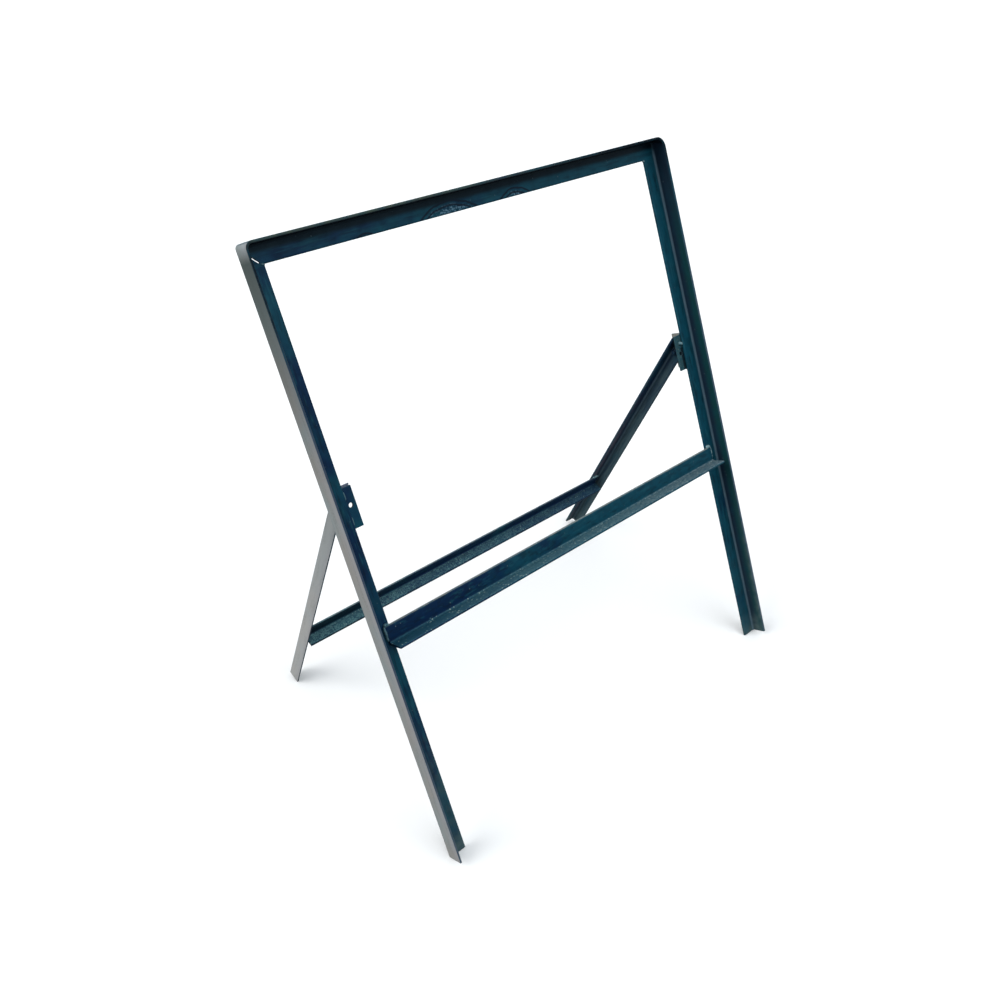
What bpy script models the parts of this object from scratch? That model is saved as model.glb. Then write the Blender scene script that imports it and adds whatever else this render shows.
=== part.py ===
"""Folding sign stand made of steel angle.

A front frame, bent from one length of angle, leans back and holds a flat sign on its shelf. A smaller
rear frame is pivoted on two brackets behind it and props it up. The stand is modelled open.

The origin is at the middle of the footprint, on the floor. X runs across the stand, the sign faces -Y
and Z is up. Each frame is built in flat coordinates of its own: u across, v up along its legs and w out
of its plane, towards the front.
"""
import math

import bmesh
import bpy
from mathutils import Matrix, Vector

MM = 0.001
GAP = 0.3 * MM                      # kept between pieces that touch

# Front frame: 25 x 25 x 3 angle
FRONT_WIDTH = 650 * MM
FRONT_HEIGHT = 777 * MM             # along the legs
FRONT_LEG = 25 * MM
THICKNESS = 3 * MM
FRONT_LEAN = math.radians(26)
HEEL_RADIUS = 5 * MM                # outside of the bends at the top, at the back of the frame
LIP_RADIUS = {"left": 9 * MM, "right": 14.5 * MM}    # and at its front
SLIT_START = 5.5 * MM               # the open mitre, measured in from the left side
SLIT_END = 19.7 * MM
SLIT_DROP = 3.3 * MM                # below the corner's diagonal
SLIT_WIDTH = 2 * MM
SHELF_HEIGHT = 301 * MM             # underside of the shelf, along the legs
SHELF_END_INSET = 17 * MM

# Brackets: offcuts of the same angle behind the front legs
BRACKET_LENGTH = {"left": 50 * MM, "right": 52 * MM}
BRACKET_INSET = 12.5 * MM
BRACKET_DROP = {"left": 6.2 * MM, "right": 0.7 * MM}    # of the bracket's middle, below the pivot
PIVOT_HEIGHT = 479.5 * MM           # along the front legs
PIVOT_DEPTH = 13 * MM               # behind the bracket's front face
SPARE_HOLE_RADIUS = 3 * MM
SPARE_HOLE_OFFSET = 17.8 * MM       # in from the bracket's heel
SPARE_HOLE_RISE = {"left": 2.8 * MM, "right": -1.2 * MM}    # above the bracket's middle

# Rear frame: 20 x 20 x 3 angle
REAR_WIDTH = 612 * MM
REAR_LEG = 20 * MM
REAR_PIVOT_HEIGHT = 455 * MM        # from the rear foot, along the leg
REAR_PIVOT_DEPTH = 11.5 * MM        # in front of the rear leg's heel
REAR_END = {"left": 18 * MM, "right": 24 * MM}          # square top end, above the pivot
REAR_BAR_HEIGHT = 116.5 * MM
REAR_BAR_INSET = 6.5 * MM
STOP_CLEARANCE = 0.4 * MM           # between the rear leg's top and the bracket
STOP_RELIEF = math.radians(2.5)     # lets the heel end of the cut bear first

# M6 pivots
BOLT_RADIUS = 3 * MM
BOLT_LENGTH = 20.8 * MM
HEAD_RADIUS = 6.75 * MM
HEAD_HEIGHT = 3.3 * MM
HOLE_RADIUS = 3.3 * MM
WASHER_RADIUS = 6 * MM
WASHER_THICKNESS = 1.6 * MM
NUT_FLATS = 10 * MM
NUT_HEIGHT = 6 * MM

ROUND_STEPS = 32
FLOOR_TO_PIVOT = PIVOT_HEIGHT * math.cos(FRONT_LEAN) - (GAP + PIVOT_DEPTH) * math.sin(FRONT_LEAN)


def rear_lean():
    """Lean of the rear frame that puts its feet on the floor: the front tips of its legs touch first."""
    forward = REAR_LEG - REAR_PIVOT_DEPTH
    reach = math.hypot(REAR_PIVOT_HEIGHT, forward)
    return math.atan2(forward, REAR_PIVOT_HEIGHT) + math.acos(FLOOR_TO_PIVOT / reach)


REAR_LEAN = rear_lean()
PIVOT_Y = PIVOT_HEIGHT * math.sin(FRONT_LEAN) + (GAP + PIVOT_DEPTH) * math.cos(FRONT_LEAN)
REAR_FOOT_Y = (PIVOT_Y + REAR_PIVOT_HEIGHT * math.sin(REAR_LEAN)
               + REAR_PIVOT_DEPTH * math.cos(REAR_LEAN))
FRONT_TIP_Y = -FRONT_LEG * math.cos(FRONT_LEAN)
CENTRE_Y = (REAR_FOOT_Y + FRONT_TIP_Y) / 2


def new_collection(name):
    collection = bpy.data.collections.new(name)
    bpy.context.scene.collection.children.link(collection)
    return collection


def clear_scene():
    for obj in list(bpy.data.objects):
        bpy.data.objects.remove(obj, do_unlink=True)
    for collection in list(bpy.data.collections):
        bpy.data.collections.remove(collection)


def steel_material(name, colour, roughness, metallic):
    material = bpy.data.materials.new(name)
    material.use_nodes = True
    shader = material.node_tree.nodes["Principled BSDF"]
    shader.inputs["Base Color"].default_value = (*colour, 1)
    shader.inputs["Roughness"].default_value = roughness
    shader.inputs["Metallic"].default_value = metallic
    material.diffuse_color = (*colour, 1)
    return material


def link(name, mesh, collection, material=None, parent=None, placement=None):
    """Make an object of a mesh and place it in its parent's coordinates."""
    obj = bpy.data.objects.new(name, mesh)
    collection.objects.link(obj)
    if material:
        obj.data.materials.append(material)
    if parent:
        obj.parent = parent
    if placement:
        obj.matrix_local = placement
    mesh.shade_smooth()
    mesh.set_sharp_from_angle(angle=math.radians(35))
    return obj


def frame_empty(name, location, lean, collection):
    """An empty whose X, Y and Z are a frame's u, v and w. A positive lean tips its top backwards."""
    empty = bpy.data.objects.new(name, None)
    collection.objects.link(empty)
    empty.location = location
    empty.rotation_euler = (math.pi / 2 - lean, 0, 0)
    bpy.context.view_layer.update()
    return empty


def axes(x_axis, y_axis, location):
    """A placement with the given X and Y directions. Z is their cross product."""
    x_axis, y_axis = Vector(x_axis), Vector(y_axis)
    turn = Matrix((x_axis, y_axis, x_axis.cross(y_axis))).transposed()
    return Matrix.Translation(location) @ turn.to_4x4()


def arc(centre, radius, start, end, steps):
    """Points on an arc, with angles in degrees."""
    points = []
    for step in range(steps + 1):
        angle = math.radians(start + (end - start) * step / steps)
        points.append((centre[0] + radius * math.cos(angle), centre[1] + radius * math.sin(angle)))
    return points


def angle_outline(leg):
    """Outline of rolled angle with its heel at the origin: square heel, round toes and a root fillet."""
    toe = THICKNESS * 0.6
    root = THICKNESS
    heel = THICKNESS * 0.2
    inner = THICKNESS + root
    return (arc((heel, heel), heel, 180, 270, 2)
            + [(leg, 0)]
            + arc((leg - toe, THICKNESS - toe), toe, 0, 90, 3)
            + arc((inner, inner), root, 270, 180, 4)
            + arc((THICKNESS - toe, leg - toe), toe, 0, 90, 3)
            + [(0, leg)])


def swept_mesh(name, outline, stations):
    """Extrude an outline's face through the stations. A station turns an outline point into a place."""
    bm = bmesh.new()
    tag = bm.verts.layers.int.new("outline_point")
    for index, point in enumerate(outline):
        vertex = bm.verts.new(stations[0](*point))
        vertex[tag] = index
    face = bm.faces.new(bm.verts)
    for station in stations[1:]:
        made = bmesh.ops.extrude_face_region(bm, geom=[face, *face.edges])["geom"]
        for item in made:
            if isinstance(item, bmesh.types.BMVert):
                item.co = station(*outline[item[tag]])
            elif isinstance(item, bmesh.types.BMFace):
                face = item
    bmesh.ops.remove_doubles(bm, verts=bm.verts, dist=1e-6)
    bmesh.ops.dissolve_degenerate(bm, edges=bm.edges, dist=1e-7)
    bmesh.ops.recalc_face_normals(bm, faces=bm.faces)
    mesh = bpy.data.meshes.new(name)
    bm.to_mesh(mesh)
    bm.free()
    return mesh


def angle_mesh(name, leg, length):
    """A straight length of angle along Z, with its heel on the Z axis."""
    ends = [lambda p, q: (p, q, 0), lambda p, q: (p, q, length)]
    return swept_mesh(name, angle_outline(leg), ends)


def bent_frame_mesh(name):
    """The upside-down U. Its bends are cones, nearly sharp at the back, and the flange meets in mitres."""
    steps = 8
    right = FRONT_WIDTH

    def foot(side):
        return lambda s, w: (s if side == "left" else right - s, 0, w)

    def bend(side, turn):
        def place(s, w):
            radius = HEEL_RADIUS + (LIP_RADIUS[side] - HEEL_RADIUS) * w / FRONT_LEG
            reach = max(radius - s, 0)
            in_by = max(radius, s)
            u = in_by - reach * math.cos(turn)
            v = FRONT_HEIGHT - in_by + reach * math.sin(turn)
            return (u if side == "left" else right - u, v, w)
        return place

    turns = [math.pi / 2 * step / steps for step in range(steps + 1)]
    stations = [foot("left")]
    stations += [bend("left", turn) for turn in turns]
    stations += [bend("right", turn) for turn in reversed(turns)]
    stations += [foot("right")]
    return swept_mesh(name, angle_outline(FRONT_LEG), stations)


def turned_object(name, profile, collection, material=None, parent=None, placement=None):
    """A round solid: a profile of (radius, height) points, from top to bottom, turned about Z."""
    mesh = bpy.data.meshes.new(name)
    closed = profile[0][0] > 0
    count = len(profile)
    edges = [(index, (index + 1) % count) for index in range(count if closed else count - 1)]
    mesh.from_pydata([(radius, 0, height) for radius, height in profile], edges, [])
    obj = link(name, mesh, collection, material, parent, placement)
    screw = obj.modifiers.new("turn", "SCREW")
    screw.steps = ROUND_STEPS
    screw.render_steps = ROUND_STEPS
    screw.use_merge_vertices = True
    screw.merge_threshold = 1e-6
    screw.use_smooth_shade = True
    return obj


def cut(obj, cutter, operation="DIFFERENCE"):
    boolean = obj.modifiers.new(cutter.name, "BOOLEAN")
    boolean.operation = operation
    boolean.solver = "EXACT"
    boolean.object = cutter


def cutter_object(name, mesh, collection, parent, placement):
    obj = link(name, mesh, collection, None, parent, placement)
    obj.hide_render = True
    obj.display_type = "WIRE"
    return obj


def cylinder_cutter(name, radius, length, collection, parent, location, axis):
    """A round cutter centred on a point of its parent's coordinates."""
    bm = bmesh.new()
    bmesh.ops.create_cone(bm, cap_ends=True, segments=ROUND_STEPS, radius1=radius, radius2=radius,
                          depth=length)
    mesh = bpy.data.meshes.new(name)
    bm.to_mesh(mesh)
    bm.free()
    turn = Vector((0, 0, 1)).rotation_difference(Vector(axis)).to_matrix().to_4x4()
    return cutter_object(name, mesh, collection, parent, Matrix.Translation(location) @ turn)


def box_cutter(name, size, collection, parent, placement):
    bm = bmesh.new()
    bmesh.ops.create_cube(bm, size=1, matrix=Matrix.Diagonal((*size, 1)))
    mesh = bpy.data.meshes.new(name)
    bm.to_mesh(mesh)
    bm.free()
    return cutter_object(name, mesh, collection, parent, placement)


def make_front_frame(parts, cutters, steel, front):
    bar = link("front_frame_bar", bent_frame_mesh("front_frame_bar"), parts, steel, front)
    middle = (SLIT_START + SLIT_END) / 2
    along = (SLIT_END - SLIT_START) * math.sqrt(2)
    diagonal = Vector((1, -1, 0)).normalized()
    across = Vector((1, 1, 0)).normalized()
    place = axes(diagonal, across, (middle, FRONT_HEIGHT - middle - SLIT_DROP, THICKNESS / 2))
    cut(bar, box_cutter("mitre_slit_cutter", (along, SLIT_WIDTH, 3 * THICKNESS), cutters, front, place))

    length = FRONT_WIDTH - 2 * SHELF_END_INSET
    place = axes((0, 1, 0), (0, 0, 1), (SHELF_END_INSET, SHELF_HEIGHT, THICKNESS + GAP))
    link("front_crossbar", angle_mesh("front_crossbar", FRONT_LEG, length), parts, steel, front, place)


def make_bracket(side, parts, cutters, steel, front):
    """A bracket behind a front leg, and the cutters for its two holes. The lug points backwards."""
    inward = 1 if side == "left" else -1
    outer = 0 if side == "left" else FRONT_WIDTH
    heel = outer + inward * BRACKET_INSET
    centre = PIVOT_HEIGHT - BRACKET_DROP[side]
    bottom = centre - BRACKET_LENGTH[side] / 2
    plate, lug = (inward, 0, 0), (0, 0, -1)
    first, second = (plate, lug) if side == "left" else (lug, plate)
    name = "bracket_" + side
    mesh = angle_mesh(name, FRONT_LEG, BRACKET_LENGTH[side])
    bracket = link(name, mesh, parts, steel, front, axes(first, second, (heel, bottom, -GAP)))

    spare = (heel + inward * SPARE_HOLE_OFFSET, centre + SPARE_HOLE_RISE[side], -GAP)
    pivot = (heel, PIVOT_HEIGHT, -GAP - PIVOT_DEPTH)
    depth = 4 * THICKNESS
    cut(bracket, cylinder_cutter("spare_hole_cutter_" + side, SPARE_HOLE_RADIUS, depth,
                                 cutters, front, spare, (0, 0, 1)))
    cut(bracket, cylinder_cutter("lug_hole_cutter_" + side, HOLE_RADIUS, depth,
                                 cutters, front, pivot, (1, 0, 0)))


def trim_top(mesh, heel_end):
    """Cut the top of a rear leg at a slant, so that it stops against the bracket's back."""
    slant = FRONT_LEAN + REAR_LEAN - STOP_RELIEF
    bm = bmesh.new()
    bm.from_mesh(mesh)
    normal = Vector((math.cos(slant), 0, math.sin(slant)))
    everything = list(bm.verts) + list(bm.edges) + list(bm.faces)
    bmesh.ops.bisect_plane(bm, geom=everything, plane_co=(0, 0, heel_end), plane_no=normal,
                           clear_outer=True)
    rim = [edge for edge in bm.edges if edge.is_boundary]
    bmesh.ops.edgeloop_fill(bm, edges=rim)
    bmesh.ops.recalc_face_normals(bm, faces=bm.faces)
    bm.to_mesh(mesh)
    bm.free()


def swapped(mesh):
    """Swap a mesh's X and Y. Angle looks the same either way, so this turns a left leg into a right one."""
    mesh.transform(Matrix(((0, 1, 0, 0), (1, 0, 0, 0), (0, 0, 1, 0), (0, 0, 0, 1))))
    mesh.flip_normals()


def make_rear_frame(parts, cutters, steel, rear):
    """The rear frame. Its empty is on the pivot axis, at the frame's middle."""
    opening = FRONT_LEAN + REAR_LEAN
    to_bracket = PIVOT_DEPTH - THICKNESS - STOP_CLEARANCE
    heel_end = (REAR_PIVOT_HEIGHT
                + (to_bracket + REAR_PIVOT_DEPTH * math.cos(opening)) / math.sin(opening))
    foot, back = -REAR_PIVOT_HEIGHT, -REAR_PIVOT_DEPTH
    for side, inward in (("left", 1), ("right", -1)):
        name = "rear_leg_" + side
        outer = -inward * REAR_WIDTH / 2
        mesh = angle_mesh(name, REAR_LEG, REAR_PIVOT_HEIGHT + REAR_END[side])
        trim_top(mesh, heel_end)
        forward, across = (0, 0, 1), (inward, 0, 0)
        first, second = (forward, across)
        if side == "right":
            swapped(mesh)
            first, second = (across, forward)
        leg = link(name, mesh, parts, steel, rear, axes(first, second, (outer, foot, back)))
        cut(leg, cylinder_cutter("leg_hole_cutter_" + side, HOLE_RADIUS, 4 * THICKNESS,
                                 cutters, rear, (outer, 0, 0), (1, 0, 0)))

    length = REAR_WIDTH - 2 * REAR_BAR_INSET
    place = axes((0, 1, 0), (0, 0, 1),
                 (-length / 2, foot + REAR_BAR_HEIGHT, back + THICKNESS + GAP))
    link("rear_crossbar", angle_mesh("rear_crossbar", REAR_LEG, length), parts, steel, rear, place)


def bolt_profile():
    """A cup head with a plain shank. The head's top is the start and the shank's end is the finish."""
    sphere = (HEAD_RADIUS ** 2 + HEAD_HEIGHT ** 2) / (2 * HEAD_HEIGHT)
    spread = math.degrees(math.asin(HEAD_RADIUS / sphere))
    dome = arc((0, HEAD_HEIGHT - sphere), sphere, 90, 90 - spread, 6)
    dome[0] = (0, HEAD_HEIGHT)
    chamfer = BOLT_RADIUS * 0.25
    return dome + [(BOLT_RADIUS, 0), (BOLT_RADIUS, chamfer - BOLT_LENGTH),
                   (BOLT_RADIUS - chamfer, -BOLT_LENGTH), (0, -BOLT_LENGTH)]


def washer_profile(thickness):
    edge = thickness * 0.2
    return [(HOLE_RADIUS, thickness), (WASHER_RADIUS - edge, thickness), (WASHER_RADIUS, thickness - edge),
            (WASHER_RADIUS, edge), (WASHER_RADIUS - edge, 0), (HOLE_RADIUS, 0)]


def make_nut(side, place, parts, cutters, steel, front):
    """A hexagon with its corners turned off at both ends, drilled through."""
    name = "pivot_nut_" + side
    corner = NUT_FLATS / math.sqrt(3)
    bm = bmesh.new()
    bmesh.ops.create_cone(bm, cap_ends=True, segments=6, radius1=corner, radius2=corner,
                          depth=NUT_HEIGHT, matrix=Matrix.Translation((0, 0, NUT_HEIGHT / 2)))
    mesh = bpy.data.meshes.new(name)
    bm.to_mesh(mesh)
    bm.free()
    nut = link(name, mesh, parts, steel, front, place)

    flat = NUT_FLATS / 2
    drop = (corner + MM - flat) * math.tan(math.radians(30))
    bevel = [(0, NUT_HEIGHT), (flat, NUT_HEIGHT), (corner + MM, NUT_HEIGHT - drop),
             (corner + MM, drop), (flat, 0), (0, 0)]
    blank = turned_object("nut_blank_" + side, bevel, cutters, None, front, place)
    blank.hide_render = True
    blank.display_type = "WIRE"
    cut(nut, blank, "INTERSECT")
    centre = place @ Vector((0, 0, NUT_HEIGHT / 2))
    cut(nut, cylinder_cutter("nut_hole_cutter_" + side, HOLE_RADIUS, 2 * NUT_HEIGHT,
                             cutters, front, centre, (1, 0, 0)))


def make_pivot(side, parts, cutters, fastener, front):
    """The bolt through a bracket's lug and a rear leg, with its spacer, washer and nut."""
    inward = 1 if side == "left" else -1
    outer = 0 if side == "left" else FRONT_WIDTH
    lug_outside = BRACKET_INSET
    leg_outside = (FRONT_WIDTH - REAR_WIDTH) / 2
    lug_inside = lug_outside + THICKNESS
    leg_inside = leg_outside + THICKNESS

    def place(depth, facing=1):
        spot = (outer + inward * depth, PIVOT_HEIGHT, -GAP - PIVOT_DEPTH)
        turn = Matrix.Rotation(math.pi / 2 * inward * facing, 4, "Y")
        return Matrix.Translation(spot) @ turn

    turned_object("pivot_bolt_" + side, bolt_profile(), parts, fastener, front,
                  place(lug_outside - GAP, -1))
    spacer = washer_profile(leg_outside - lug_inside - 2 * GAP)
    turned_object("spacer_washer_" + side, spacer, parts, fastener, front, place(lug_inside + GAP))
    turned_object("nut_washer_" + side, washer_profile(WASHER_THICKNESS), parts, fastener, front,
                  place(leg_inside + GAP))
    make_nut(side, place(leg_inside + WASHER_THICKNESS + 2 * GAP), parts, cutters, fastener, front)


def main():
    clear_scene()
    parts = new_collection("folding_sign_stand")
    cutters = new_collection("cutters")
    front_steel = steel_material("painted_angle_front", (0.016, 0.036, 0.052), 0.42, 0.0)
    rear_steel = steel_material("painted_angle_rear", (0.014, 0.030, 0.044), 0.45, 0.0)
    fastener = steel_material("painted_fasteners", (0.018, 0.034, 0.044), 0.38, 0.2)

    corner = (-FRONT_WIDTH / 2, -CENTRE_Y, 0)
    front = frame_empty("front_frame", corner, FRONT_LEAN, parts)
    pivot = (0, PIVOT_Y - CENTRE_Y, FLOOR_TO_PIVOT)
    rear = frame_empty("rear_frame_pivot", pivot, -REAR_LEAN, parts)

    make_front_frame(parts, cutters, front_steel, front)
    make_rear_frame(parts, cutters, rear_steel, rear)
    for side in ("left", "right"):
        make_bracket(side, parts, cutters, front_steel, front)
        make_pivot(side, parts, cutters, fastener, front)


main()
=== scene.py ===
"""Looks of the folding sign stand: worn dark paint, weld beads, studio light and camera.

Lengths are in metres. Places on the object are given as (u, v, w) in the flat coordinates of the frame
they are on: u across from the frame's left outer face, v up along its legs from the floor, and w out of
its plane towards the front, from its back.
"""
import math

import bmesh
import bpy
from mathutils import Matrix, Vector, noise


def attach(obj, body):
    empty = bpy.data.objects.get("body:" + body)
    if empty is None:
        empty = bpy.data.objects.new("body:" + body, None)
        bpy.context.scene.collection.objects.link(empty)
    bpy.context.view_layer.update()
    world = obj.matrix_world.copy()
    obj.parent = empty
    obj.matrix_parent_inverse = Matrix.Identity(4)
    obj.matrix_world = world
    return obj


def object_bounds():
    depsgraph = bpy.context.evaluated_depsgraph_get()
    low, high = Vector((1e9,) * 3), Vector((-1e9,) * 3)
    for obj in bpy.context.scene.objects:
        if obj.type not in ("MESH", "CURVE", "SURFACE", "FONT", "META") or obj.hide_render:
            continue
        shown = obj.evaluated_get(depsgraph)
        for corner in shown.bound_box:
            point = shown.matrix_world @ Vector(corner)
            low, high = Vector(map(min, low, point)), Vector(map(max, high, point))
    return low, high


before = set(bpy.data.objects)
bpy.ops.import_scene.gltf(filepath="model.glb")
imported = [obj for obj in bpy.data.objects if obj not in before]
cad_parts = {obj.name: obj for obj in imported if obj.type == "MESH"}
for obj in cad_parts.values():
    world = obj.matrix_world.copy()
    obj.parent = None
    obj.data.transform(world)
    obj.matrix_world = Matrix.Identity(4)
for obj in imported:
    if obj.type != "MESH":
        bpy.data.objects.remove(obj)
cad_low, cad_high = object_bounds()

MM = 0.001

# ---------------------------------------------------------------- dimensions that follow the CAD
FRONT_LEAN = math.radians(26)
FRONT_WIDTH = 650 * MM
FRONT_HEIGHT = 777 * MM
FRONT_LEG = 25 * MM
REAR_LEAN = math.radians(21.96875)
REAR_WIDTH = 612 * MM
REAR_LEG = 20 * MM
THICKNESS = 3 * MM
SHELF_HEIGHT = 301 * MM
SHELF_END = 17 * MM
REAR_BAR_HEIGHT = 116.5 * MM
REAR_BAR_END = 6.5 * MM
BRACKET_INSET = 12.5 * MM
BRACKET_LENGTH = {"left": 50 * MM, "right": 52 * MM}
BRACKET_MIDDLE = {"left": 473.3 * MM, "right": 478.8 * MM}
REAR_LEG_TOP = 473 * MM             # the left rear leg's square end

RIGHT_BRACKET_WELD = 490 * MM       # height of the one weld that shows at the right bracket's edge

rear_foot_z = REAR_LEG * math.sin(REAR_LEAN)
FRONT_ORIGIN = Vector((-FRONT_WIDTH / 2, cad_low.y + FRONT_LEG * math.cos(FRONT_LEAN), 0))
REAR_ORIGIN = Vector((-REAR_WIDTH / 2, cad_high.y, rear_foot_z))


class Plane:
    """A frame's flat coordinates: where (0, 0, 0) is, how far it is tipped, and the frame's sizes."""

    def __init__(self, origin, tip, width, leg):
        self.origin = origin
        self.tip = tip
        self.turn = Matrix.Rotation(tip, 3, "X")
        self.width = width
        self.leg = leg

    def at(self, u, v, w):
        return self.origin + self.turn @ Vector((u, v, w))


FRONT = Plane(FRONT_ORIGIN, math.pi / 2 - FRONT_LEAN, FRONT_WIDTH, FRONT_LEG)
REAR = Plane(REAR_ORIGIN, math.pi / 2 + REAR_LEAN, REAR_WIDTH, REAR_LEG)


# ---------------------------------------------------------------- node helpers
class Tree:
    """Short ways to add nodes to a material."""

    def __init__(self, name):
        self.material = bpy.data.materials.new(name)
        self.material.use_nodes = True
        self.nodes = self.material.node_tree.nodes
        self.links = self.material.node_tree.links
        self.shader = self.nodes["Principled BSDF"]

    def add(self, kind, values=None, **settings):
        node = self.nodes.new(kind)
        for key, value in settings.items():
            setattr(node, key, value)
        for key, value in (values or {}).items():
            self.put(node.inputs[key], value)
        return node

    def put(self, socket, value):
        if isinstance(value, bpy.types.NodeSocket):
            self.links.new(value, socket)
        elif isinstance(value, tuple) and len(value) == 3 and socket.type == "RGBA":
            socket.default_value = (*value, 1)
        else:
            socket.default_value = value

    def math(self, operation, *values):
        node = self.add("ShaderNodeMath", operation=operation)
        for socket, value in zip(node.inputs, values):
            self.put(socket, value)
        return node.outputs[0]

    def product(self, *values):
        result = values[0]
        for value in values[1:]:
            result = self.math("MULTIPLY", result, value)
        return result

    def largest(self, *values):
        result = values[0]
        for value in values[1:]:
            result = self.math("MAXIMUM", result, value)
        return result

    def smooth(self, value, low, high):
        """0 at low, 1 at high and smooth between. Low may be the larger."""
        node = self.add("ShaderNodeMapRange", {"Value": value, "From Min": low, "From Max": high},
                        interpolation_type="SMOOTHSTEP")
        return node.outputs["Result"]

    def band(self, value, low, high, soft):
        """1 between low and high and 0 outside, with edges this soft."""
        rise = self.smooth(value, low - soft, low)
        fall = self.smooth(value, high + soft, high)
        return self.product(rise, fall)

    def blend(self, factor, first, second):
        """A mix of two colours."""
        node = self.add("ShaderNodeMix", data_type="RGBA")
        for index, value in ((0, factor), (6, first), (7, second)):
            self.put(node.inputs[index], value)
        return node.outputs[2]

    def between(self, factor, first, second):
        """A mix of two numbers."""
        node = self.add("ShaderNodeMix", data_type="FLOAT")
        for index, value in ((0, factor), (2, first), (3, second)):
            self.put(node.inputs[index], value)
        return node.outputs[0]

    def vector(self, operation, first, second):
        node = self.add("ShaderNodeVectorMath", {0: first, 1: second}, operation=operation)
        return node.outputs["Value"] if operation in ("DOT_PRODUCT", "DISTANCE") else node.outputs[0]

    def noise(self, vector, scale, detail=2.0, roughness=0.5):
        node = self.add("ShaderNodeTexNoise", {"Vector": vector, "Scale": scale, "Detail": detail,
                                               "Roughness": roughness})
        return node.outputs["Fac"]


# ---------------------------------------------------------------- paint
NAVY = (0.0013, 0.0150, 0.0560)
TEAL = (0.0035, 0.0540, 0.0860)
# soot colour: random dark tone in the coat, and also laid as painted shade in corners, under the top lip
# and on shaded faces
SOOT_AND_SHADE = (0.0012, 0.0030, 0.0070)
PALE_TEAL = (0.0120, 0.0880, 0.1200)
WARM_HAZE = (0.310, 0.300, 0.285)
COOL_HAZE = (0.280, 0.308, 0.312)
REAR_WARM_HAZE = (0.435, 0.430, 0.420)
REAR_COOL_HAZE = (0.415, 0.430, 0.433)
# painted highlight on the outer faces, towards their front edge
VIOLET_HIGHLIGHT = (0.350, 0.350, 0.385)
DARK_HAZE = (0.068, 0.084, 0.078)
DUST = (0.110, 0.150, 0.170)
GREEN_DUST = (0.085, 0.185, 0.200)
LIP_SHADE = (0.009, 0.017, 0.034)
LIP_GREEN = (0.005, 0.035, 0.037)
# painted highlight in the root of the legs' angle
ROOT_HIGHLIGHT = (0.090, 0.140, 0.180)
LIP_BLOOM = (0.049, 0.083, 0.099)
FLANGE_BLOOM = (0.088, 0.086, 0.118)
RAIL_LIP = (0.070, 0.092, 0.066)
# painted highlight on the weld beads' upper sides
WELD_HIGHLIGHT = (0.190, 0.290, 0.310)
# painted highlight on the rear leg's square top end
VIOLET_END_HIGHLIGHT = (0.110, 0.120, 0.170)
LUG_HAZE = (0.300, 0.290, 0.255)
CHALK = (0.120, 0.165, 0.110)
PALE_DUST = (0.210, 0.213, 0.190)
RUB = (0.060, 0.115, 0.150)
WORN_LIP = (0.085, 0.108, 0.150)
MUD = (0.070, 0.112, 0.115)
SPECK = (0.120, 0.175, 0.210)
GRIT = (0.260, 0.350, 0.340)
SCUFF_LIGHT = (0.120, 0.230, 0.320)
SCUFF_DARK = (0.0010, 0.0035, 0.0140)

# Round scuffs on the top rail: middle (u, v) and radius
SCUFFS = (
    ((275 * MM, 692 * MM), 75 * MM),
    ((381 * MM, 723 * MM), 39 * MM),
    ((153 * MM, 735 * MM), 21 * MM),
)


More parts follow.
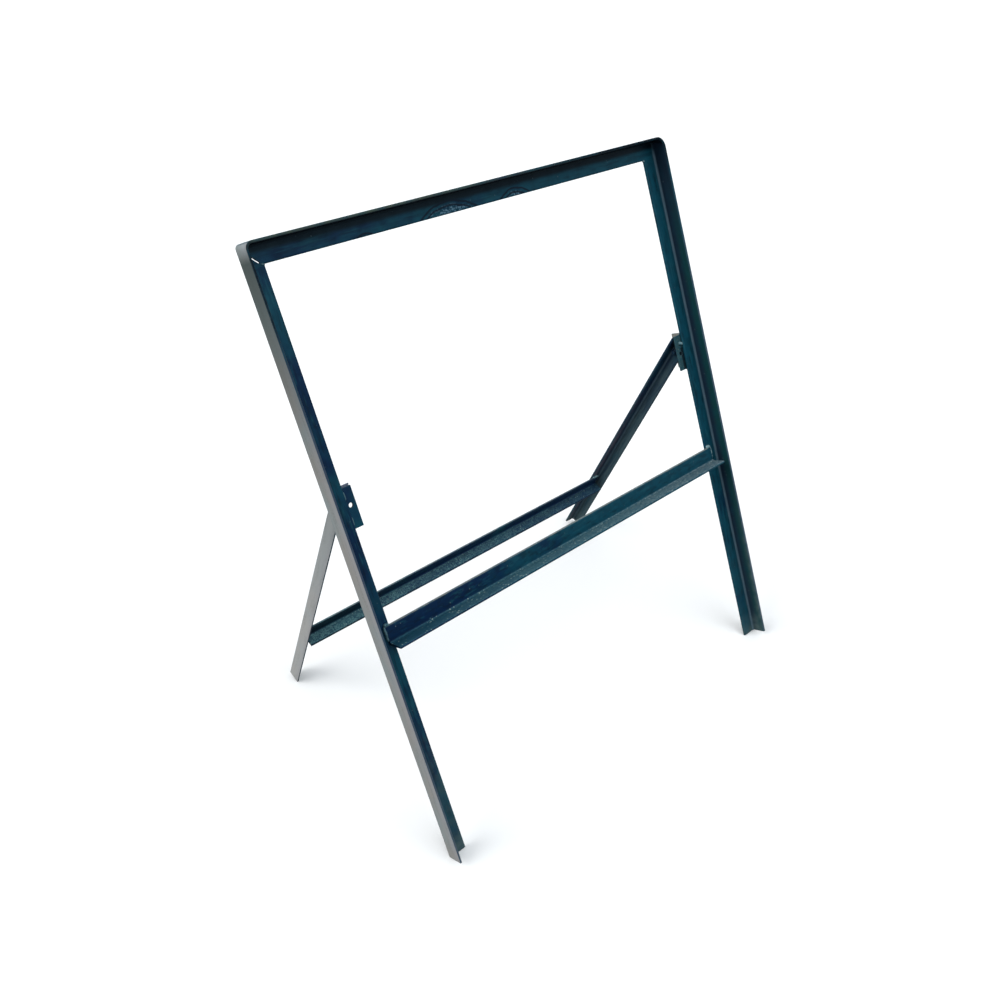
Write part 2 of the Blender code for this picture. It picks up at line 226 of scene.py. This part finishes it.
class Paint(Tree):
    """Worn dark paint on one of the frames, laid on in layers. It works in the frame's (u, v, w)."""

    def __init__(self, name, plane, seed):
        super().__init__(name)
        self.plane = plane
        coordinates = self.add("ShaderNodeTexCoord")
        mapping = self.add("ShaderNodeMapping", {"Vector": coordinates.outputs["Object"],
                                                 "Rotation": (-plane.tip, 0, 0),
                                                 "Location": -(plane.turn.inverted() @ plane.origin)})
        place = mapping.outputs[0]
        self.u, self.v, self.w = self.add("ShaderNodeSeparateXYZ", {0: place}).outputs
        self.spot = self.vector("ADD", place, (seed, seed * 1.7, seed * 0.6))
        self.normal_x, _, self.normal_z = self.add("ShaderNodeSeparateXYZ",
                                                   {0: coordinates.outputs["Normal"]}).outputs
        self.across = self.math("DIVIDE", self.u, plane.width)
        from_middle = self.math("SUBTRACT", self.u, plane.width / 2)
        self.from_side = self.math("SUBTRACT", plane.width / 2, self.math("ABSOLUTE", from_middle))
        self.outward = self.math("MULTIPLY", self.math("SIGN", from_middle), self.normal_x)
        self.upward = self.smooth(self.normal_z, 0.62, 0.90)
        self.fine = self.noise(self.spot, 420, 5, 0.7)
        self.middling = self.noise(self.spot, 75, 4, 0.6)
        self.grain = self.noise(self.spot, 210, 3, 0.6)
        self.broad = self.noise(self.spot, 13, 3, 0.55)
        self.rounded = self.add("ShaderNodeBevel", {"Radius": 1.1 * MM}, samples=6).outputs[0]
        self.matt = [0.0]
        self.colour = NAVY

    def lay(self, amount, colour, matt=0.0):
        """Lay a colour over what is there, and note how matt it is."""
        self.colour = self.blend(amount, self.colour, colour)
        if matt:
            self.matt.append(self.math("MULTIPLY", amount, matt))

    def base_coat(self, left, right):
        """Slow change between navy and teal. Left and right say how teal the ends are, from 0 to 1."""
        lean = self.between(self.across, left - 0.5, right - 0.5)
        teal = self.smooth(self.math("ADD", self.broad, self.math("MULTIPLY", lean, 0.4)), 0.38, 0.62)
        self.lay(teal, TEAL)
        self.lay(self.math("MULTIPLY", self.smooth(self.middling, 0.35, 0.75), 0.32), SOOT_AND_SHADE)

    def streaks(self, scales, amount):
        """Darker and paler streaks. Scales are how fast they change along u, v and w."""
        place = self.vector("MULTIPLY", self.spot, scales)
        darker = self.smooth(self.noise(place, 1, 3, 0.6), 0.50, 0.66)
        self.lay(self.product(darker, amount), SOOT_AND_SHADE)
        shifted = self.vector("ADD", place, (31.0, 17.0, 5.0))
        paler = self.smooth(self.noise(shifted, 1, 3, 0.6), 0.52, 0.68)
        self.lay(self.product(paler, amount), PALE_TEAL)

    def painted_corner_shade(self, strength):
        """Painted shade: soot colour laid in inside corners, the more the corner is enclosed."""
        occlusion = self.add("ShaderNodeAmbientOcclusion", {"Distance": 16 * MM}, samples=8)
        enclosed = self.smooth(occlusion.outputs["AO"], 0.80, 0.30)
        self.lay(self.math("MULTIPLY", enclosed, strength), SOOT_AND_SHADE)

    def shadow_under_top_lip(self):
        """Painted shadow: the top rail darkened with soot colour below its lip."""
        depth = self.smooth(self.v, FRONT_HEIGHT - 15 * MM, FRONT_HEIGHT - 9 * MM)
        inside = self.smooth(self.w, FRONT_LEG - 0.5 * MM, FRONT_LEG - 1.5 * MM)
        under = self.smooth(self.v, FRONT_HEIGHT - 1 * MM, FRONT_HEIGHT - 2 * MM)
        between_legs = self.band(self.u, 3.5 * MM, FRONT_WIDTH - 3.5 * MM, 1 * MM)
        self.lay(self.product(depth, inside, under, between_legs, 0.97), SOOT_AND_SHADE)

    def film(self, warm, cool, low, high, bend=0.0):
        """Grey film on the outer faces, pale below the height low and on the bend, and dark above high."""
        edge = self.smooth(self.from_side, 16 * MM, 12 * MM)
        streaks = self.noise(self.vector("MULTIPLY", self.spot, (60, 6, 60)), 3, 4, 0.6)
        ragged = self.between(streaks, 0.86, 1.10)
        full = self.blend(self.smooth(self.broad, 0.40, 0.60), warm, cool)
        # painted highlight: the film made paler and violet towards the lips' front edge
        full = self.blend(self.product(self.smooth(self.w, 8 * MM, 24 * MM), 0.45), full, VIOLET_HIGHLIGHT)
        height = self.largest(self.smooth(self.v, high, low), bend)
        mottle = self.product(self.smooth(streaks, 0.44, 0.66),
                              self.smooth(self.fine, 0.30, 0.60), 0.34)
        worn = self.math("SUBTRACT", 1.0, mottle)
        shade = self.blend(self.product(height, ragged, worn), DARK_HAZE, full)
        facing_out = self.smooth(self.outward, 0.30, 0.75)
        self.lay(self.product(facing_out, edge, ragged, 0.95), shade, matt=1.0)

    def lip_inside(self):
        """The legs' lips inside: painted shade, darkest near the top and the root, greener towards their
        front edge and lower down.
        """
        facing_in = self.smooth(self.outward, -0.5, -0.9)
        inner = self.product(facing_in, self.smooth(self.from_side, 4 * MM, 3.4 * MM))
        green = self.product(self.smooth(self.w, 9 * MM, 19 * MM),
                             self.smooth(self.v, FRONT_HEIGHT - 30 * MM, FRONT_HEIGHT - 180 * MM))
        shade = self.blend(green, LIP_SHADE, LIP_GREEN)
        self.lay(self.product(inner, self.between(self.middling, 0.6, 1.1)), shade)

    def root_highlight(self, amount, top):
        """Painted highlight: a pale line in the root of the legs' angle, up to the height top."""
        across = self.smooth(self.from_side, 7.0 * MM, 5.2 * MM)
        out = self.smooth(self.w, 7.0 * MM, 5.2 * MM)
        inside = self.product(self.smooth(self.from_side, 2.9 * MM, 3.3 * MM),
                              self.smooth(self.w, 2.9 * MM, 3.3 * MM))
        below = self.smooth(self.v, top, top - 12 * MM)
        patches = self.between(self.middling, 0.5, 1.2)
        self.lay(self.product(across, out, inside, below, patches, amount), ROOT_HIGHLIGHT)

    def bloom(self):
        """A thin pale bloom on the rear legs, up to near their pivots."""
        inner = self.smooth(self.outward, -0.3, -0.8)
        flange = self.product(self.smooth(self.v, 400 * MM, 210 * MM),
                              self.between(self.smooth(self.from_side, 5 * MM, 15 * MM), 0.10, 1.25))
        lip = self.product(self.smooth(self.v, 570 * MM, 300 * MM),
                           self.between(self.smooth(self.w, 4 * MM, 17 * MM), 0.65, 1.20))
        height = self.between(inner, flange, lip)
        streaks = self.noise(self.vector("MULTIPLY", self.spot, (70, 5, 70)), 4, 3, 0.6)
        ragged = self.between(self.smooth(streaks, 0.34, 0.66), 0.45, 1.25)
        shade = self.blend(inner, FLANGE_BLOOM, LIP_BLOOM)
        self.lay(self.product(height, ragged, self.between(inner, 0.78, 1.0)), shade, matt=0.6)

    def dust(self, left, right, colour=DUST):
        """Dust on faces that look up, from left to right."""
        grain = self.product(self.between(self.smooth(self.fine, 0.36, 0.66), 0.22, 1.25),
                             self.between(self.smooth(self.grain, 0.38, 0.62), 0.62, 1.30))
        drift = self.between(self.smooth(self.broad, 0.30, 0.70), 0.75, 1.0)
        amount = self.product(self.upward, grain, drift, self.between(self.across, left, right))
        self.lay(amount, colour, matt=1.0)

    def grit(self, amount):
        """Small pale grains on faces that look up."""
        cells = self.add("ShaderNodeTexVoronoi", {"Vector": self.spot, "Scale": 210.0})
        grains = self.product(self.smooth(cells.outputs["Distance"], 0.27, 0.15),
                              self.smooth(self.noise(self.spot, 40, 2), 0.46, 0.56))
        self.lay(self.product(self.upward, grains, amount), GRIT, matt=0.5)

    def pale_top(self, height, amount):
        """Pale dust on a bar's thin top edge, which is at this height."""
        edge = self.product(self.upward, self.smooth(self.v, height - 3 * MM, height - 1 * MM))
        patches = self.between(self.smooth(self.middling, 0.35, 0.62), 0.3, 1.0)
        self.lay(self.product(edge, patches, amount), PALE_DUST, matt=0.8)

    def muddy_feet(self):
        """Dirt on the ends of the legs, higher on the left and along the front of their lips."""
        patches = self.between(self.smooth(self.middling, 0.35, 0.65), 0.4, 1.0)
        end = self.smooth(self.v, 45 * MM, 4 * MM)
        splashed = self.product(self.smooth(self.v, 230 * MM, 60 * MM),
                                self.between(self.across, 0.5, 0.1))
        front = self.product(self.smooth(self.w, 15 * MM, 24 * MM),
                             self.smooth(self.v, 300 * MM, 40 * MM))
        self.lay(self.product(self.largest(end, splashed, front), patches, 0.85), MUD, matt=0.8)

    def lip_edge_wear_and_shade(self, amount, colour):
        """Lay a colour along the front edge of the lips: a pale one for paint worn thin, soot colour for
        painted shade.
        """
        front = self.band(self.w, self.plane.leg - 0.7 * MM, self.plane.leg + 0.2 * MM, 0.2 * MM)
        patches = self.between(self.smooth(self.middling, 0.30, 0.70), 0.45, 1.0)
        self.lay(self.product(front, patches, amount), colour, matt=0.7)

    def rubbed_edges(self, strength):
        """Edges rubbed pale, found by how far a small rounding turns the surface."""
        true_normal = self.add("ShaderNodeNewGeometry").outputs["Normal"]
        agree = self.vector("DOT_PRODUCT", self.rounded, true_normal)
        chipped = self.between(self.smooth(self.noise(self.spot, 160, 4, 0.65), 0.36, 0.62), 0.2, 1.0)
        self.lay(self.product(self.smooth(agree, 0.995, 0.87), chipped, strength), RUB, matt=0.6)

    def specks(self, amount):
        """Small pale chips in patches."""
        cells = self.add("ShaderNodeTexVoronoi", {"Vector": self.spot, "Scale": 190.0})
        dots = self.smooth(cells.outputs["Distance"], 0.20, 0.11)
        self.lay(self.product(dots, self.smooth(self.middling, 0.55, 0.64), amount), SPECK, matt=0.5)

    def round_scuffs(self):
        """Curved rub marks on the top rail's flange."""
        face = self.product(self.band(self.w, THICKNESS - 0.2 * MM, THICKNESS + 0.2 * MM, 0.2 * MM),
                            self.smooth(self.v, FRONT_HEIGHT - 27 * MM, FRONT_HEIGHT - 26 * MM))
        flat = self.add("ShaderNodeCombineXYZ", {0: self.u, 1: self.v}).outputs[0]
        for (u, v), radius in SCUFFS:
            distance = self.vector("DISTANCE", flat, (u, v, 0))
            wobble = self.math("MULTIPLY", self.math("SUBTRACT", self.middling, 0.5), 4 * MM)
            distance = self.math("ADD", distance, wobble)
            inside = self.smooth(distance, radius - 3 * MM, radius - 6 * MM)
            scratches = self.smooth(self.noise(self.spot, 330, 3, 0.6), 0.50, 0.60)
            self.lay(self.product(face, inside, scratches, 0.85), SCUFF_LIGHT, matt=0.5)
            for ring in (radius, radius - 5 * MM):
                line = self.band(distance, ring - 1.5 * MM, ring, 0.7 * MM)
                self.lay(self.product(face, line, 0.9), SCUFF_DARK)

    def finish(self, level, gloss, dull):
        """Set the shader. Gloss and dull are the roughness of clean and of covered paint."""
        self.put(self.shader.inputs["Base Color"], self.colour)
        clean = self.between(self.smooth(self.middling, 0.35, 0.75), gloss, gloss + 0.14)
        self.put(self.shader.inputs["Roughness"], self.between(self.largest(*self.matt), clean, dull))
        self.shader.inputs["Specular IOR Level"].default_value = level
        self.shader.inputs["Specular Tint"].default_value = (0.45, 0.80, 1.0, 1)
        grit = self.math("MULTIPLY", self.noise(self.spot, 900, 3, 0.6), 0.25)
        height = self.math("ADD", grit, self.noise(self.spot, 110, 3, 0.5))
        bump = self.add("ShaderNodeBump", {"Strength": 0.35, "Distance": 0.35 * MM, "Height": height,
                                           "Normal": self.rounded})
        self.put(self.shader.inputs["Normal"], bump.outputs[0])
        return self.material


def front_bar_paint():
    paint = Paint("front_bar_paint", FRONT, 3.1)
    paint.base_coat(0.45, 1.0)
    on_rail = paint.smooth(paint.v, FRONT_HEIGHT - 32 * MM, FRONT_HEIGHT - 24 * MM)
    paint.streaks((260, 30, 260), paint.between(on_rail, 0.45, 0.0))
    paint.streaks((30, 260, 260), paint.between(on_rail, 0.0, 0.30))
    paint.painted_corner_shade(0.5)
    paint.shadow_under_top_lip()
    paint.round_scuffs()
    paint.lip_inside()
    paint.muddy_feet()
    bend = paint.smooth(paint.v, FRONT_HEIGHT - 24 * MM, FRONT_HEIGHT - 4 * MM)
    paint.film(WARM_HAZE, COOL_HAZE, 450 * MM, 800 * MM, bend)

    # the lips' front edges: worn on the legs and the rail, with painted shade near both top corners
    legs = paint.smooth(paint.v, FRONT_HEIGHT - 30 * MM, FRONT_HEIGHT - 260 * MM)
    paint.lip_edge_wear_and_shade(paint.product(legs, 0.75), WORN_LIP)
    rail = paint.product(paint.smooth(paint.v, FRONT_HEIGHT - 12 * MM, FRONT_HEIGHT - 4 * MM),
                         paint.smooth(paint.u, 620 * MM, 150 * MM))
    paint.lip_edge_wear_and_shade(paint.product(rail, 0.95), RAIL_LIP)
    right_corner = paint.product(paint.smooth(paint.v, FRONT_HEIGHT - 60 * MM, FRONT_HEIGHT - 20 * MM),
                                 paint.smooth(paint.u, 350 * MM, 560 * MM))
    paint.lip_edge_wear_and_shade(paint.product(right_corner, 1.2), SOOT_AND_SHADE)
    left_corner = paint.product(paint.smooth(paint.v, FRONT_HEIGHT - 150 * MM, FRONT_HEIGHT - 60 * MM),
                                paint.smooth(paint.u, 12 * MM, 4 * MM))
    paint.lip_edge_wear_and_shade(paint.product(left_corner, 1.1), SOOT_AND_SHADE)

    paint.root_highlight(0.8, FRONT_HEIGHT - 10 * MM)
    paint.dust(0.5, 0.5)
    paint.rubbed_edges(0.55)
    paint.specks(0.35)
    return paint.finish(0.20, 0.36, 0.70)


def front_crossbar_paint():
    paint = Paint("front_crossbar_paint", FRONT, 5.3)
    paint.base_coat(-1.0, 3.0)
    paint.streaks((60, 200, 200), 0.40)
    paint.painted_corner_shade(0.35)
    paint.lay(paint.product(paint.upward, 0.6), TEAL)
    paint.dust(0.10, 1.25, paint.blend(paint.across, GREEN_DUST, DUST))
    root = paint.product(paint.upward, paint.smooth(paint.w, 6.0 * MM, 4.5 * MM))
    paint.lay(paint.product(root, paint.between(paint.middling, 0.3, 1.0)), DUST, matt=0.8)
    paint.pale_top(SHELF_HEIGHT + FRONT_LEG, 0.75)
    paint.grit(0.9)
    paint.rubbed_edges(0.7)
    paint.specks(0.8)
    return paint.finish(0.20, 0.36, 0.72)


def bracket_paint():
    paint = Paint("bracket_paint", FRONT, 8.9)
    paint.base_coat(0.5, 1.0)
    paint.painted_corner_shade(0.4)
    right = paint.smooth(paint.across, 0.4, 0.6)
    chalky = paint.between(paint.smooth(paint.fine, 0.35, 0.65), 0.05, 0.30)
    paint.lay(paint.product(right, chalky), CHALK, matt=0.6)
    paint.dust(0.6, 0.6)
    top_end = paint.smooth(paint.normal_z, 0.80, 0.88)
    paint.lay(paint.product(right, top_end, 0.75), PALE_DUST, matt=0.9)

    # painted shadow: soot colour beside the right leg, below the bracket's weld
    beside_leg = paint.smooth(paint.u, FRONT_WIDTH - 30 * MM, FRONT_WIDTH - 29 * MM)
    below_weld = paint.smooth(paint.v, RIGHT_BRACKET_WELD - 3 * MM, RIGHT_BRACKET_WELD - 5 * MM)
    paint.lay(paint.product(beside_leg, below_weld, 0.9), SOOT_AND_SHADE)

    # grey film on the inside of the right lug
    facing_left = paint.smooth(paint.normal_x, -0.5, -0.9)
    behind_plate = paint.smooth(paint.w, -4 * MM, -6 * MM)
    lug = paint.product(right, facing_left, behind_plate)
    paint.lay(paint.product(lug, paint.between(paint.fine, 0.6, 1.0)), LUG_HAZE, matt=1.0)
    paint.rubbed_edges(0.9)
    paint.specks(0.6)
    return paint.finish(0.24, 0.34, 0.68)


def rear_leg_paint():
    paint = Paint("rear_leg_paint", REAR, 7.4)
    paint.base_coat(0.4, 0.4)
    paint.streaks((260, 30, 260), 0.40)
    paint.painted_corner_shade(0.5)
    paint.bloom()
    paint.muddy_feet()
    paint.film(REAR_WARM_HAZE, REAR_COOL_HAZE, 0, 1.2)
    paint.root_highlight(0.75, 470 * MM)
    paint.dust(0.4, 0.4)
    # painted highlight on the square top end of the rear leg, which looks up
    at_top = paint.smooth(paint.v, REAR_LEG_TOP - 0.5 * MM, REAR_LEG_TOP - 0.1 * MM)
    top_end = paint.product(at_top, paint.smooth(paint.normal_z, 0.80, 0.88))
    paint.lay(paint.product(top_end, 0.8), VIOLET_END_HIGHLIGHT, matt=0.7)
    paint.rubbed_edges(0.6)
    paint.specks(0.3)
    return paint.finish(0.20, 0.38, 0.70)


def rear_crossbar_paint():
    paint = Paint("rear_crossbar_paint", REAR, 2.2)
    paint.base_coat(0.3, 0.1)
    paint.streaks((30, 260, 260), 0.35)
    paint.painted_corner_shade(0.7)
    # painted shade: soot colour on the faces that don't look up, towards the left end
    left_end = paint.smooth(paint.across, 0.45, 0.05)
    not_upward = paint.smooth(paint.normal_z, 0.75, 0.45)
    paint.lay(paint.product(left_end, not_upward, 0.75), SOOT_AND_SHADE)
    paint.dust(0.95, 0.35, GREEN_DUST)
    paint.pale_top(REAR_BAR_HEIGHT + REAR_LEG, 0.5)
    paint.grit(0.4)
    paint.rubbed_edges(0.6)
    paint.specks(0.4)
    return paint.finish(0.20, 0.38, 0.70)


def weld_paint(name, plane, seed):
    """Painted highlight: pale on the beads' upper sides, and paler at the frame's right side than at its
    left.
    """
    paint = Paint(name, plane, seed)
    paint.base_coat(0.9, 0.9)
    facing_up = paint.smooth(paint.normal_z, -0.4, 0.4)
    highlighted = paint.product(facing_up, paint.smooth(paint.grain, 0.28, 0.50))
    how_pale = paint.between(paint.smooth(paint.across, 0.3, 0.7), 0.40, 0.95)
    paint.lay(paint.product(highlighted, how_pale), WELD_HIGHLIGHT, matt=0.3)
    paint.rubbed_edges(0.5)
    return paint.finish(0.5, 0.26, 0.5)


def fastener_paint():
    paint = Paint("fastener_paint", FRONT, 1.9)
    paint.base_coat(0.3, 0.3)
    # painted shade: the fasteners darkened with soot colour
    paint.lay(0.5, SOOT_AND_SHADE)
    paint.dust(0.3, 0.3)
    paint.rubbed_edges(0.3)
    return paint.finish(0.24, 0.36, 0.6)


FRONT_BAR_PAINT = front_bar_paint()
BRACKET_PAINT = bracket_paint()
FASTENER_PAINT = fastener_paint()
REAR_LEG_PAINT = rear_leg_paint()
NODE_PAINT = {
    "front_frame_bar": FRONT_BAR_PAINT,
    "front_crossbar": front_crossbar_paint(),
    "bracket_left": BRACKET_PAINT,
    "bracket_right": BRACKET_PAINT,
    "rear_leg_left": REAR_LEG_PAINT,
    "rear_leg_right": REAR_LEG_PAINT,
    "rear_crossbar": rear_crossbar_paint(),
}
for name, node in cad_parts.items():
    for slot in node.material_slots:
        slot.material = NODE_PAINT.get(name, FASTENER_PAINT)


# ---------------------------------------------------------------- weld beads
RIPPLE = 2.1 * MM                   # between two ripples of a bead
RIPPLE_HEIGHT = 0.09                # as a share of the bead's radius
LUMP_HEIGHT = 0.22
LUMP_SIZE = 3 * MM
RING_STEP = 0.5 * MM
BEAD_SIDES = 14
FRONT_WELD_PAINT = weld_paint("front_weld_paint", FRONT, 4.4)
REAR_WELD_PAINT = weld_paint("rear_weld_paint", REAR, 6.6)


def bead_mesh(name, start, end, radius, seed):
    """A lumpy, rippled bead between two points, closed at both ends."""
    along = end - start
    length = along.length
    direction = along.normalized()
    side = direction.orthogonal().normalized()
    other = direction.cross(side)
    rings = max(12, round(length / RING_STEP))
    bm = bmesh.new()
    loops = []
    for ring in range(1, rings):
        t = ring / rings
        taper = (1 - abs(2 * t - 1) ** 4) ** 0.5
        loop = []
        for step in range(BEAD_SIDES):
            angle = 2 * math.pi * step / BEAD_SIDES
            outward = math.cos(angle) * side + math.sin(angle) * other
            phase = length * t / RIPPLE + 0.3 * math.sin(angle)
            ripple = 1 + RIPPLE_HEIGHT * (abs(math.sin(math.pi * phase)) - 0.5)
            spot = start + t * along + radius * outward
            lump = 1 + LUMP_HEIGHT * noise.noise(spot / LUMP_SIZE + Vector((seed, 0, 0)))
            loop.append(bm.verts.new(start + t * along + radius * taper * ripple * lump * outward))
        loops.append(loop)
    for first, second in zip(loops, loops[1:]):
        for step in range(BEAD_SIDES):
            following = (step + 1) % BEAD_SIDES
            bm.faces.new((first[step], first[following], second[following], second[step]))
    for loop, tip in ((loops[0], start), (loops[-1], end)):
        pole = bm.verts.new(tip)
        for step in range(BEAD_SIDES):
            bm.faces.new((loop[step], loop[(step + 1) % BEAD_SIDES], pole))
    bmesh.ops.recalc_face_normals(bm, faces=bm.faces)
    mesh = bpy.data.meshes.new(name)
    bm.to_mesh(mesh)
    bm.free()
    mesh.shade_smooth()
    return mesh


def weld(name, plane, start, end, radius, seed):
    """A bead between two (u, v, w) places in millimetres."""
    ends = [plane.at(*(value * MM for value in place)) for place in (start, end)]
    bead = bpy.data.objects.new(name, bead_mesh(name, *ends, radius * MM, seed))
    bpy.context.scene.collection.objects.link(bead)
    on_front = plane is FRONT
    bead.data.materials.append(FRONT_WELD_PAINT if on_front else REAR_WELD_PAINT)
    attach(bead, "front_frame" if on_front else "rear_frame")


def counted_from(side, width):
    """A function that takes places with u counted from this side, and counts it from the left."""
    return lambda u, v, w: (u if side == "left" else width - u, v, w)


def front_welds():
    width = FRONT_WIDTH / MM
    top = FRONT_HEIGHT / MM
    shelf = SHELF_HEIGHT / MM
    leg = FRONT_LEG / MM
    end = SHELF_END / MM
    inset = BRACKET_INSET / MM
    for index, side in enumerate(("left", "right")):
        at = counted_from(side, width)

        # the shelf's ends, on the flanges of the legs
        blob = 3.0 if side == "right" else 2.3
        weld("shelf_top_weld_" + side, FRONT, at(end - 0.5, shelf + leg + 0.6, 4.2),
             at(leg - 1.0, shelf + leg + 0.8, 3.8), blob, 1.3 + index)
        weld("shelf_end_weld_" + side, FRONT, at(end - 0.6, shelf + leg, 4.4),
             at(end - 0.4, shelf + 5, 4.4), 2.0, 2.4 + index)
        weld("shelf_under_weld_" + side, FRONT, at(end, shelf - 0.6, 3.6),
             at(leg, shelf - 0.6, 3.6), 1.7, 3.5 + index)

        # the brackets, at their ends and down the edge of each leg's flange
        middle = BRACKET_MIDDLE[side] / MM
        half = BRACKET_LENGTH[side] / MM / 2
        for word, sign in (("upper", 1), ("lower", -1)):
            bracket_end = middle + sign * (half + 0.3)
            weld(f"bracket_{word}_weld_{side}", FRONT, at(inset + 1, bracket_end, -1.2),
                 at(leg - 0.5, bracket_end, -1.2), 1.7, 4.6 + index + sign)
            if side == "left":
                weld(f"bracket_{word}_edge_weld_left", FRONT, at(leg + 0.3, middle + sign * 10, 0.2),
                     at(leg + 0.3, middle + sign * 21, 0.2), 1.3, 6.2 + index + sign)
        weld("bracket_heel_weld_" + side, FRONT, at(inset - 0.3, middle - half + 4, -0.7),
             at(inset - 0.3, middle + half - 4, -0.7), 1.4, 8.1 + index)

        # the mitres at the top corners, on the back
        weld("mitre_back_weld_" + side, FRONT, at(5, top - 5, 0.3), at(leg - 1, top - leg + 1, 0.3),
             1.5, 9.2 + index)
    spot = RIGHT_BRACKET_WELD / MM
    weld("bracket_edge_weld_right", FRONT, (width - leg - 6.0, spot + 3.5, 0.4),
         (width - leg + 0.2, spot, 0.6), 2.7, 5.1)
    weld("mitre_front_weld_left", FRONT, (20.6, top - 24.2, 2.7), (25.0, top - 26.2, 2.5), 1.3, 0.7)
    weld("mitre_corner_weld_right", FRONT, (width - leg - 0.2, top - leg - 0.2, 0.2),
         (width - leg - 0.2, top - leg - 0.2, 3.0), 1.9, 0.9)


def rear_welds():
    width = REAR_WIDTH / MM
    bar = REAR_BAR_HEIGHT / MM
    leg = REAR_LEG / MM
    end = REAR_BAR_END / MM
    for index, side in enumerate(("left", "right")):
        at = counted_from(side, width)

        blob = 2.9 if side == "right" else 1.9
        weld("bar_top_weld_" + side, REAR, at(end + 0.5, bar + leg + 0.6, 4.0),
             at(leg - 1.0, bar + leg + 0.4, 3.8), blob, 11.3 + index)
        weld("bar_end_weld_" + side, REAR, at(end - 0.6, bar + leg, 4.2), at(end - 0.6, bar + 4, 4.2),
             1.9, 12.4 + index)
        weld("bar_under_weld_" + side, REAR, at(end, bar - 0.6, 3.5), at(leg, bar - 0.6, 3.5),
             1.6, 13.5 + index)
        weld("bar_back_weld_" + side, REAR, at(leg + 0.3, bar + 4, 2.6),
             at(leg + 0.3, bar + leg - 3, 2.6), 1.4, 14.6 + index)


front_welds()
rear_welds()


# ---------------------------------------------------------------- floor, light and camera
BOUNCE_GREY = 0.26                  # how pale the floor is to everything but the camera
SEEN_GREY = 0.93                    # and to the camera
FLOOR_RADIUS = 30
DOME_SIDES = 0.38                   # how bright the dome is at the horizon
DOME_TOP = 0.95


def make_floor():
    tree = Tree("pale_floor")
    ray = tree.add("ShaderNodeLightPath")
    seen = tree.blend(ray.outputs["Is Camera Ray"], (BOUNCE_GREY,) * 3, (SEEN_GREY,) * 3)
    tree.put(tree.shader.inputs["Base Color"], seen)
    tree.shader.inputs["Roughness"].default_value = 0.9
    tree.shader.inputs["Specular IOR Level"].default_value = 0.0

    mesh = bpy.data.meshes.new("floor")
    bm = bmesh.new()
    bmesh.ops.create_circle(bm, cap_ends=True, segments=96, radius=FLOOR_RADIUS)
    bm.to_mesh(mesh)
    bm.free()
    mesh.materials.append(tree.material)
    floor = bpy.data.objects.new("floor", mesh)
    bpy.context.scene.collection.objects.link(floor)


def sun(name, come_from, strength, spread, colour):
    """A broad soft light without a place, so that the floor is evenly lit."""
    data = bpy.data.lights.new(name, "SUN")
    data.energy = strength
    data.angle = math.radians(spread)
    data.color = colour
    light = bpy.data.objects.new(name, data)
    light.rotation_mode = "QUATERNION"
    light.rotation_quaternion = (-Vector(come_from)).to_track_quat("-Z", "Y")
    bpy.context.scene.collection.objects.link(light)


def make_world():
    """A dome that is brightest overhead. To the camera it is plain white."""
    world = bpy.data.worlds.new("studio")
    bpy.context.scene.world = world
    world.use_nodes = True
    nodes = world.node_tree.nodes
    links = world.node_tree.links
    coordinates = nodes.new("ShaderNodeTexCoord")
    split = nodes.new("ShaderNodeSeparateXYZ")
    links.new(coordinates.outputs["Generated"], split.inputs[0])
    height = nodes.new("ShaderNodeMapRange")
    height.interpolation_type = "SMOOTHSTEP"
    height.inputs["To Min"].default_value = DOME_SIDES
    height.inputs["To Max"].default_value = DOME_TOP
    links.new(split.outputs["Z"], height.inputs["Value"])
    dome = nodes["Background"]
    dome.inputs["Color"].default_value = (0.93, 0.97, 1.0, 1)
    links.new(height.outputs["Result"], dome.inputs["Strength"])
    backdrop = nodes.new("ShaderNodeBackground")
    backdrop.inputs["Color"].default_value = (1, 1, 1, 1)
    ray = nodes.new("ShaderNodeLightPath")
    mix = nodes.new("ShaderNodeMixShader")
    links.new(ray.outputs["Is Camera Ray"], mix.inputs[0])
    links.new(dome.outputs[0], mix.inputs[1])
    links.new(backdrop.outputs[0], mix.inputs[2])
    links.new(mix.outputs[0], nodes["World Output"].inputs[0])


def make_camera():
    """The photo's view, worked out from the straight edges of both frames."""
    data = bpy.data.cameras.new("camera")
    data.lens = 34.52
    data.sensor_width = 36
    data.shift_x = -0.0303
    data.shift_y = 0.0386
    data.clip_end = 100
    camera = bpy.data.objects.new("camera", data)
    camera.location = (-0.7721, -0.7444, 1.0881)
    camera.rotation_euler = [math.radians(angle) for angle in (51.5765, -2.6413, -43.2195)]
    bpy.context.scene.collection.objects.link(camera)
    bpy.context.scene.camera = camera


make_floor()
make_world()
sun("left_light", (-2.4, 0.9, 1.6), 1.9, 50, (1.0, 0.99, 0.97))
sun("front_light", (0.2, -1.0, 1.1), 0.9, 60, (0.90, 0.96, 1.0))
make_camera()
bpy.context.scene.view_settings.view_transform = "Standard"

bpy.context.view_layer.update()
